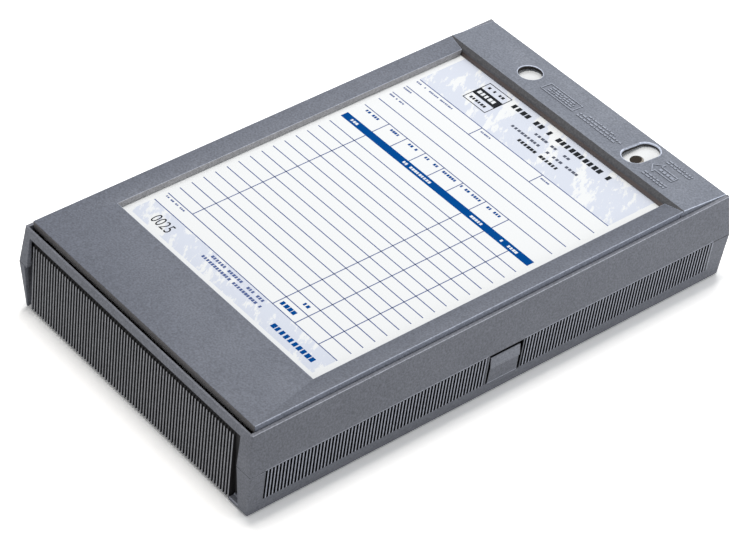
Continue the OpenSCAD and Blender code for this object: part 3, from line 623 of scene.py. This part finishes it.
# Painted highlight on the bar's upward rounded edges
bar_highlight = moulded_plastic("bar_highlight", times(bar_colour, 1.6), 0.3, 0.7)
bar_face = moulded_plastic("bar_face", bar_face_colour, 0.4)
hole_wall_shade = moulded_plastic("hole_wall_shade", hole_wall_shade_colour, 0.4, 0.2)
rim_highlight = moulded_plastic("rim_highlight", times(bar_colour, 3), 0.2, 0.8)
bar_ends_lit = moulded_plastic("bar_ends_lit", times(bar_colour, 1.15))
bar_looks = [bar_plastic, bar_highlight, bar_face, hole_wall_shade, rim_highlight, bar_ends_lit]
facing = face_values(bar_mesh, "normal", 3)
middles = face_values(bar_mesh, "center", 3)
bar_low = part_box("head_bar")[0]
# The near face, turned away from the lamps, is painted dark as shade
shaded_near_face = (facing[:, 1] < -bar_face_tilt) & (middles[:, 1] < bar_low.y + bar_face_reach)
# The openings' walls, below their chamfers, are painted dark as shade; the chamfers carry a painted
# highlight
opened = in_hole(middles[:, 0], middles[:, 1]) | in_slot(middles[:, 0], middles[:, 1])
wall = opened & (np.abs(facing[:, 2]) < hole_wall_tilt)
chamfer = opened & (facing[:, 2] > chamfer_tilts[0]) & (facing[:, 2] < chamfer_tilts[1])
# The bar's upright ends are painted lighter as light, and their upward rounded edges carry the painted
# highlight of the rims
outermost = np.abs(middles[:, 0]) > bar_side
upright_end = outermost & (np.abs(facing[:, 0]) > square_tilt)
end_highlight = outermost & (facing[:, 2] > highlight_tilt) & (np.abs(facing[:, 0]) > end_edge_tilt)
coat(bar_mesh, bar_looks, (shaded_near_face, bar_face), (wall, hole_wall_shade), (chamfer, rim_highlight),
     (upright_end, bar_ends_lit), (end_highlight, rim_highlight))
fitted("bar", bar_mesh, "cover", "bar_plastic", bar_looks, "head_bar")

# Tear strip: a thin steel strip set into the foot of the bar's near face, dark brown as painted shade
# with a warm painted reflection. It holds the form down and gives it an edge to tear against. It is brushed
# along its length and not plated.
strip_shade_colour = (0.150, 0.120, 0.110)
strip_metal = 0.75
strip_roughness = (0.42, 0.58)
strip_spread = 0.3
streak_scale = (30, 2600, 2600)
hairline_depth = 0.01 * MM
strip_edge_rounds = (0.06 * MM,)
strip_edge_shortest = 1 * MM


def wandering(tree, colour, spread, grain):
    """Colour from (1 - spread) to (1 + spread) times a colour, as the grain goes from 0 to 1."""
    return mixed(tree, grain, (*times(colour, 1 - spread), 1), (*times(colour, 1 + spread), 1))


def brushed_steel(name):
    """Metal with fine streaks along X in its tone, gloss and relief."""
    material, tree, shader = new_material(name)
    drawn_out = new_node(tree, "ShaderNodeMapping", {"Vector": object_place(tree), "Scale": streak_scale})
    lines = noise(tree, drawn_out.outputs["Vector"], 1, 4)
    set_inputs(tree, shader, {
        "Base Color": wandering(tree, strip_shade_colour, strip_spread, lines),
        "Metallic": strip_metal,
        "Roughness": ranged(tree, lines, (0, 1), strip_roughness),
        "Normal": relief(tree, 0.3, hairline_depth, lines)})
    return material


strip_mesh = softened("tear_strip", strip_edge_rounds, strip_edge_shortest)
fitted("tear_edge", strip_mesh, "cover", "sheet_steel", [brushed_steel("tear_steel")], "tear_strip")

# Raised marks of the head bar: rows of dashes, three of them in a frame, between the hole and the
# slot, and an outlined arrow with more rows beside the slot. They were cut into the mould, so they
# stand up in the bar's own plastic. Their places are in mm.
mark_rise = 0.3 * MM
mark_foot = 0.1 * MM
mark_round = 0.07 * MM
mark_corner = 0.5
rule_width = 0.5
frame_y = (111.0, 117.8)
arrow_width = 0.55
dash_gap = 0.55
dash_shortest = 0.7
dash_steps = (1.25, 3.15)
most_dashes = 40
# The marks' sides are painted dark as shade, and their tops carry a painted highlight
mark_sides_shade = moulded_plastic("mark_sides_shade", times(bar_colour, 0.2), 0.4)
mark_tops_highlight = moulded_plastic("mark_tops_highlight", times(bar_colour, 1.6), 0.4, 0.6)
mark_looks = [mark_sides_shade, mark_tops_highlight]


def raised_marks(name, outlines):
    """Low prisms on the bar's falling top, from outlines of (x, y) in mm that run anticlockwise.
    A point stands at z = 46.6 - 0.1 (y - 103.3) mm, and the prisms' edges are rounded."""
    shape = bmesh.new()
    for outline in outlines:
        flat = np.array(outline, float)
        level = bar_top_z[0] - bar_fall * (flat[:, 1] - bar_top_y[0])
        foot = [shape.verts.new((x * MM, y * MM, z * MM - mark_foot)) for (x, y), z in zip(flat, level)]
        head = [shape.verts.new((x * MM, y * MM, z * MM + mark_rise)) for (x, y), z in zip(flat, level)]
        shape.faces.new(head)
        shape.faces.new(foot[::-1])
        for i in range(len(foot)):
            j = (i + 1) % len(foot)
            shape.faces.new((foot[i], foot[j], head[j], head[i]))
    sharp = [edge for edge in shape.edges if edge.calc_face_angle() > mark_corner]
    bmesh.ops.bevel(shape, geom=sharp, offset=mark_round, segments=2, profile=0.5, affect="EDGES",
                    clamp_overlap=True)
    mesh = bpy.data.meshes.new(name)
    shape.to_mesh(mesh)
    shape.free()
    upward = face_values(mesh, "normal", 3)[:, 2] > highlight_tilt
    coat(mesh, mark_looks, (True, mark_sides_shade), (upward, mark_tops_highlight))
    fitted(name, mesh, "cover", "bar_plastic", mark_looks)


def rule(x0, x1, y, width=rule_width):
    """Outline of a straight raised rule along X."""
    return [(x0, y - width / 2), (x1, y - width / 2), (x1, y + width / 2), (x0, y + width / 2)]


def post(x0, x1):
    """Outline of an upright side of the frame."""
    return [(x0, frame_y[0]), (x1, frame_y[0]), (x1, frame_y[1]), (x0, frame_y[1])]


def dashes(x0, x1, y, width, seed):
    """Outlines of raised dashes in a row along X, 0.7 to 2.6 mm long and 0.55 mm apart."""
    draw = np.random.default_rng(seed)
    starts = x0 + np.cumsum(np.concatenate([[0], draw.uniform(*dash_steps, most_dashes)]))
    ends = starts[1:] - dash_gap
    return [rule(a, min(b, x1), y, width) for a, b in zip(starts, ends) if a < x1 - dash_shortest]


def outlined(outline):
    """Outlines of the mitred rules, arrow_width wide, that lie just inside an outline's sides. With
    the sides' unit normals n and m at a corner p, the inner corner is p + width (n + m) /
    (1 + n . m)."""
    corners = np.array(outline, float)
    sides = np.roll(corners, -1, 0) - corners
    sides /= np.linalg.norm(sides, axis=1)[:, None]
    normal = np.stack([-sides[:, 1], sides[:, 0]], 1)
    before = np.roll(normal, 1, 0)
    inner = corners + arrow_width * (before + normal) / (1 + (before * normal).sum(1))[:, None]
    after = np.roll(np.arange(len(corners)), -1)
    return [[corners[i], corners[j], inner[j], inner[i]] for i, j in enumerate(after)]


frame_rules = [rule(-25.0, -4.0, 117.6), rule(-25.0, -4.0, 111.2), post(-25.4, -24.9), post(-4.1, -3.6)]
rule_rows = ((-22.5, -6.0, 112.9, 0.8, 80), (-22.5, -6.0, 114.4, 0.8, 81), (-22.5, -6.0, 115.9, 0.8, 82),
             (-0.5, 25.0, 111.2, 0.9, 90), (-0.5, 27.0, 113.2, 0.9, 91), (3.5, 22.0, 115.2, 0.9, 92))
raised_marks("bar_rules", frame_rules + [mark for row in rule_rows for mark in dashes(*row)])
arrow = [(45.6, 115.0), (50.0, 110.4), (50.0, 112.6), (60.4, 112.6),
         (60.4, 117.4), (50.0, 117.4), (50.0, 119.6)]
arrow_rows = ((50.6, 59.6, 115.0, 1.5, 99), (48.0, 63.0, 106.9, 0.9, 95), (48.0, 63.0, 108.6, 0.9, 96),
              (48.0, 63.0, 121.6, 0.9, 97), (48.0, 63.0, 123.4, 0.9, 98))
raised_marks("bar_arrow", outlined(arrow) + [mark for row in arrow_rows for mark in dashes(*row)])

# Form: a set of thin printed plies that lies on the writing plate and ends under the head bar,
# with a punched hole in the feed slot. The print is thin ink in two blues, black, grey and white,
# and its places are in mm.
form_low, form_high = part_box("form_sheet")
form_top = form_high.z
paper_colour = (0.90, 0.905, 0.90)
wash_colour = (0.72, 0.752, 0.838)
wash_width = (-66 * MM, 63.5 * MM)
wash_head = (74 * MM, 101 * MM)
wash_foot = (-85.8 * MM, -73.6 * MM)
streak_turn = math.radians(125)
streak_size = (24 * MM, 9 * MM, 1)
bare_to_covered = (0.55, 0.52)
fibre_scale = 1800
paper_relief = 0.01 * MM


def form_paper():
    """Paper with fibres in its relief, and a pale wash with bare streaks at both ends."""
    material, tree, shader = new_material("form_paper")
    place = object_place(tree)
    parts = new_node(tree, "ShaderNodeSeparateXYZ", {0: place}).outputs
    ends = math_of(tree, "ADD", within(tree, parts["Y"], *wash_head), within(tree, parts["Y"], *wash_foot))
    field = math_of(tree, "MULTIPLY", within(tree, parts["X"], *wash_width), ends)
    turned = tree.nodes.new("ShaderNodeMapping")
    turned.vector_type = "TEXTURE"
    set_inputs(tree, turned, {"Vector": place, "Rotation": (0, 0, streak_turn), "Scale": streak_size})
    streaks = noise(tree, turned.outputs[0], 1, 9, 0.72)
    wash = math_of(tree, "MULTIPLY", field, ranged(tree, streaks, bare_to_covered, (0, 1)))
    set_inputs(tree, shader, {
        "Base Color": mixed(tree, wash, (*paper_colour, 1), (*wash_colour, 1)),
        "Roughness": 0.72,
        "Specular IOR Level": 0.25,
        "Normal": relief(tree, 0.3, paper_relief, noise(tree, place, fibre_scale, 4))})
    return material


def repaint(node, material):
    """Gives a CAD node one material for all its faces."""
    looks = frame["nodes"][node].data.materials
    looks.clear()
    looks.append(material)


repaint("form_sheet", form_paper())


def plain_paint(name, colour, roughness, metal=0.0, scale=900, spread=0.08, shine=0.5):
    """Material whose tone wanders by a share of its colour, with the same noise as fine relief."""
    material, tree, shader = new_material(name)
    grain = noise(tree, object_place(tree), scale, 3)
    set_inputs(tree, shader, {
        "Base Color": wandering(tree, colour, spread, grain),
        "Metallic": metal,
        "Roughness": roughness,
        "Specular IOR Level": shine,
        "Normal": relief(tree, 0.4, paper_relief, grain)})
    return material


# Seen through the punched hole: a dark brown disc painted as the shade inside it, and the edge of the next
# ply, painted as paper in shade
hole_middle = (36.5, 114.5)
hole_radius = 3.2
arc_points = 17
ply_shift = 1.3
hole_shade_level = form_low.z + 0.03 * MM
ply_level = form_low.z + 0.06 * MM
hole_shade = plain_paint("hole_shade_paper", (0.040, 0.031, 0.024), 0.8, shine=0.2)
shaded_ply_edge = plain_paint("shaded_ply_edge", (0.34, 0.31, 0.27), 0.8, shine=0.2)


def half_moon(name, shift, level, material):
    """Face between two circles of the hole's radius whose middles lie shift apart along X; a full
    disc where shift is 0. The arcs are radius (cos a, sin a) over the half turn to the right."""
    turn = np.linspace(-np.pi / 2, np.pi / 2, arc_points)
    if not shift:
        turn = np.linspace(0, 2 * np.pi, 2 * arc_points - 1)[:-1]
    arc = hole_radius * np.stack([np.cos(turn), np.sin(turn)], 1)
    if shift:
        arc = np.concatenate([arc, arc[-2:0:-1] - [shift, 0]])
    corners = np.column_stack([(arc + hole_middle) * MM, np.full(len(arc), level)])
    mesh = bpy.data.meshes.new(name)
    mesh.from_pydata(corners.tolist(), [], [list(range(len(corners)))])
    fitted(name, mesh, "form", "paper", [material])


half_moon("hole_shade_disc", 0, hole_shade_level, hole_shade)
half_moon("shaded_ply_edge", ply_shift, ply_level, shaded_ply_edge)

ink_blue = plain_paint("ink_blue", (0.002, 0.070, 0.29), 0.6, shine=0.0)
ink_line = plain_paint("ink_line", (0.085, 0.125, 0.30), 0.6, shine=0.12)
ink_black = plain_paint("ink_black", (0.010, 0.012, 0.016), 0.6, shine=0.12)
ink_grey = plain_paint("ink_grey", (0.10, 0.11, 0.15), 0.6, shine=0.12)
ink_white = plain_paint("ink_white", (0.86, 0.88, 0.9), 0.6, shine=0.12)
ink_lift = 0.012 * MM


def ink(name, boxes, material, layer=1):
    """Flat ink: a face for each row x0, x1, y0, y1 in mm, one ink_lift above the paper per layer."""
    edge = np.asarray(boxes, float).reshape(-1, 4) * MM
    corners = np.empty((len(edge), 4, 3))
    corners[:, :, 0] = edge[:, [0, 1, 1, 0]]
    corners[:, :, 1] = edge[:, [2, 2, 3, 3]]
    corners[:, :, 2] = form_top + layer * ink_lift
    mesh = bpy.data.meshes.new(name)
    faces = np.arange(4 * len(edge)).reshape(-1, 4)
    mesh.from_pydata(corners.reshape(-1, 3).tolist(), [], faces.tolist())
    fitted(name, mesh, "form", "paper", [material])


line_left = -65.7
line_right = 63.6
line_width = 0.5
field_rows = (73.8, 65.8, 57.9, 49.9, 42.0)
band_right = 63.4
band_low = 28.2
band_high = 32.3
row_first = 22.0
row_step = 6.292
row_count = 14
last_row = -66.0
total_y = -73.2


def across_line(y):
    """Row of an ink box for a level line at y."""
    return [line_left, line_right, y - line_width / 2, y + line_width / 2]


def upright_line(x, y0, y1):
    """Row of an ink box for an upright line at x."""
    return [x - line_width / 2, x + line_width / 2, y0, y1]


rows = row_first - row_step * np.arange(row_count)
rules = [across_line(y) for y in (*field_rows, *rows, last_row, total_y)]
rules += [upright_line(x, field_rows[1], field_rows[0]) for x in (-21.4, 20.2)]
rules += [upright_line(x, band_high, field_rows[-1]) for x in (-48.0, -35.0, -22.0, -9.0, 4.1, 19.8, 35.1)]
rules += [upright_line(-47.7, last_row, band_low)]
rules += [upright_line(x, total_y, band_low) for x in (19.5, 34.8, 51.0)]
ink("form_rules", rules, ink_line)
ink("form_head_band", [[line_left, band_right, band_low, band_high]], ink_blue)

letter_pitch = 0.8
gap_share = 0.16
letter_widths = (0.6, 0.88)
lightest_print = 0.4
weight_gain = 1.1


def print_blocks(*lines):
    """Plain blocks in the place of lines of print. A line is x0, x1, y0, height, seed and weight.
    There is one block for each letter's width, with a gap at about every sixth. The blocks' widths
    come from a seeded draw, and heavier print has taller blocks."""
    boxes = []
    for x0, x1, y0, height, seed, weight in lines:
        draw = np.random.default_rng(seed)
        pitch = height * letter_pitch
        count = max(int((x1 - x0) / pitch), 1)
        start = x0 + pitch * np.arange(count)
        kept = draw.random(count) > gap_share
        kept[[0, -1]] = True
        start = start[kept]
        width = pitch * draw.uniform(*letter_widths, len(start))
        half = height * (lightest_print + weight_gain * weight) / 2 * np.ones(len(start))
        middle = y0 + height / 2
        boxes.append(np.stack([start, start + width, middle - half, middle + half], 1))
    return np.concatenate(boxes)


ink("form_title", print_blocks((-26.0, 42.4, 93.8, 3.8, 3, 0.36)), ink_black)
ink("form_address", print_blocks((-4.4, 20.8, 89.0, 2.7, 5, 0.15), (-15.2, 31.6, 84.5, 2.7, 6, 0.15)),
    ink_grey)
ink("form_number_line", print_blocks((-5.6, 21.8, 80.2, 2.6, 7, 0.3)), ink_black)
captions = ((-65.4, -38.8, 71.0), (-19.8, -12.4, 71.0), (21.4, 27.2, 71.0),
            (-65.4, -59.6, 63.4), (-65.4, -55.2, 55.4), (-64.6, -50.4, -68.4))
ink("form_captions", print_blocks(*((*place, 1.4, 11 + i, 0.24) for i, place in enumerate(captions))),
    ink_line)
columns = ((-62.0, -52.2), (-44.4, -38.0), (-31.6, -25.2), (-20.0, -10.8),
           (-7.6, 2.6), (4.8, 19.0), (22.8, 33.2))
heads = [(*ends, 39.0, 1.9, 20 + i, 0.34) for i, ends in enumerate(columns)]
ink("form_column_heads", print_blocks(*heads), ink_blue)
band = ((-60.4, -54.0), (-23.2, -3.6), (23.4, 31.8), (43.6, 55.8))
ink("form_band_heads", print_blocks(*((*ends, 29.2, 2.0, 40 + i, 0.28) for i, ends in enumerate(band))),
    ink_white, 2)
ink("form_foot_lines", print_blocks((-20.2, 17.6, -76.6, 2.1, 50, 0.3), (-22.8, 19.6, -79.7, 2.1, 51, 0.3)),
    ink_line)
ink("form_totals", print_blocks((27.2, 32.8, -63.8, 2.4, 60, 0.34), (21.0, 32.6, -71.2, 3.1, 61, 0.34)),
    ink_blue)
ink("form_closing", print_blocks((30.0, 61.6, -82.9, 3.6, 62, 0.32)), ink_blue)

# A plain framed box with a black band across its middle is printed beside the title
stamp_x = (-45.0, -29.2)
stamp_y = (81.6, 98.2)
stamp_line = 0.45
stamp_band = (stamp_y[0] + 5.6, stamp_y[0] + 11.0)
stamp = [[*stamp_x, stamp_y[0], stamp_y[0] + stamp_line],
         [*stamp_x, stamp_y[1] - stamp_line, stamp_y[1]],
         [stamp_x[0], stamp_x[0] + stamp_line, *stamp_y],
         [stamp_x[1] - stamp_line, stamp_x[1], *stamp_y],
         [*stamp_x, *stamp_band]]
ink("form_stamp", stamp, ink_black)
band_line = (stamp_x[0] + 1.6, stamp_x[1] - 1.6, stamp_band[0] + 1.2, 3, 70, 0.3)
ink("form_stamp_band", print_blocks(band_line), ink_white, 2)
stamp_ends = (stamp_x[0] + 2.2, stamp_x[1] - 2.2)
stamp_lines = ((*stamp_ends, stamp_y[0] + 1.8, 2.3, 71, 0.27),
               (*stamp_ends, stamp_y[1] - 4.0, 2.3, 72, 0.27))
ink("form_stamp_lines", print_blocks(*stamp_lines), ink_black)

# The form's running number is set in plain figures
serial_place = (-56.0, -82.8)
serial_narrower = 0.72
serial = bpy.data.curves.new("form_serial", "FONT")
serial.body = "0025"
serial.size = 8.4
serial.space_character = 1.05
serial_curve = bpy.data.objects.new("form_serial_curve", serial)
bpy.context.scene.collection.objects.link(serial_curve)
bpy.context.view_layer.update()
drawn = serial_curve.evaluated_get(bpy.context.evaluated_depsgraph_get())
serial_mesh = bpy.data.meshes.new_from_object(drawn)
bpy.data.objects.remove(serial_curve)
places = vertex_places(serial_mesh)
places[:, 0] = (places[:, 0] * serial_narrower + serial_place[0]) * MM
places[:, 1] = (places[:, 1] + serial_place[1]) * MM
places[:, 2] = form_top + ink_lift
serial_mesh.vertices.foreach_set("co", places.ravel())
fitted("form_serial", serial_mesh, "form", "paper", [ink_black])

# Packs: the blank forms below the shelf and the filed copies above it are one long web each, folded
# to and fro at its perforations. They lie loose, so that some folds stand out more than others.
layer_step = 0.42 * MM
ply_thick = 0.3 * MM
fold_points = 7
fold_play = 0.9 * MM
pack_paper = plain_paint("pack_paper", (0.86, 0.86, 0.84), 0.75, scale=1200, spread=0.03, shine=0.25)


def fan_fold(name, node, seed):
    """Ribbon folded to and fro within a CAD node's box. Its middle line runs along Y at the levels
    z = (k + 1/2) step, and turns by half circles of half a step at the ends, which stand in from
    the box by a seeded share of fold_play. The ribbon is ply_thick thick and as wide as the box."""
    low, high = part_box(node)
    layers = int((high.z - low.z) / layer_step)
    step = (high.z - low.z) / layers
    draw = np.random.default_rng(seed)
    turn = np.linspace(-np.pi / 2, np.pi / 2, fold_points)
    way = np.where(np.arange(layers) % 2 == 0, 1.0, -1.0)
    end = np.where(way > 0, high.y, low.y) - way * (step + draw.uniform(0, fold_play, layers))
    level = low.z + (np.arange(layers) + 0.5) * step
    line = np.stack([end[:, None] + way[:, None] * np.cos(turn) * step / 2,
                     level[:, None] + (1 + np.sin(turn)) * step / 2], 2)[:-1].reshape(-1, 2)
    line = np.concatenate([[[low.y + step, level[0]]], line, [[end[-1], level[-1]]]])
    along = np.gradient(line, axis=0)
    along /= np.linalg.norm(along, axis=1)[:, None]
    normal = np.stack([-along[:, 1], along[:, 0]], 1) * ply_thick / 2
    count = len(line)
    corners = np.empty((count, 4, 3))
    corners[:, :, 0] = [low.x, high.x, high.x, low.x]
    corners[:, :2, 1:] = (line - normal)[:, None]
    corners[:, 2:, 1:] = (line + normal)[:, None]
    ring = np.arange(4)
    after = (ring + 1) % 4
    first = (np.arange(count - 1) * 4)[:, None]
    sides = np.stack([first + ring, first + after, first + 4 + after, first + 4 + ring], 2)
    caps = [[3, 2, 1, 0], [count * 4 - 4 + i for i in range(4)]]
    mesh = bpy.data.meshes.new(name)
    mesh.from_pydata(corners.reshape(-1, 3).tolist(), [], sides.reshape(-1, 4).tolist() + caps)
    shape = bmesh.new()
    shape.from_mesh(mesh)
    bmesh.ops.recalc_face_normals(shape, faces=shape.faces)
    shape.to_mesh(mesh)
    shape.free()
    fitted(name, mesh, "case", "paper", [pack_paper], node)


fan_fold("blank_forms", "supply_pack", 7)
fan_fold("filed_forms", "filed_copies", 8)

# Hidden works: writing plate, shelf, roller, axle, hinge pins and screws of plain steel, the web
# that feeds the form, and rubber feet. They keep their CAD shapes.
finishes = {
    "sheet_steel": plain_paint("sheet_steel", (0.55, 0.56, 0.58), 0.38, metal=1.0, scale=400, spread=0.06),
    "steel": plain_paint("steel", (0.6, 0.6, 0.62), 0.28, metal=1.0, scale=700, spread=0.05),
    "paper": pack_paper,
    "roller_plastic": plain_paint("roller_plastic", (0.03, 0.03, 0.033), 0.45, scale=1500, spread=0.1),
    "foot_rubber": plain_paint("foot_rubber", (0.02, 0.02, 0.02), 0.8, scale=1500, spread=0.2),
}
done_above = ("form_sheet", "tear_strip", "supply_pack", "filed_copies")
for part in frame["record"]["subparts"]:
    if part["material_slot"] in finishes and part["node"] not in done_above:
        repaint(part["node"], finishes[part["material_slot"]])
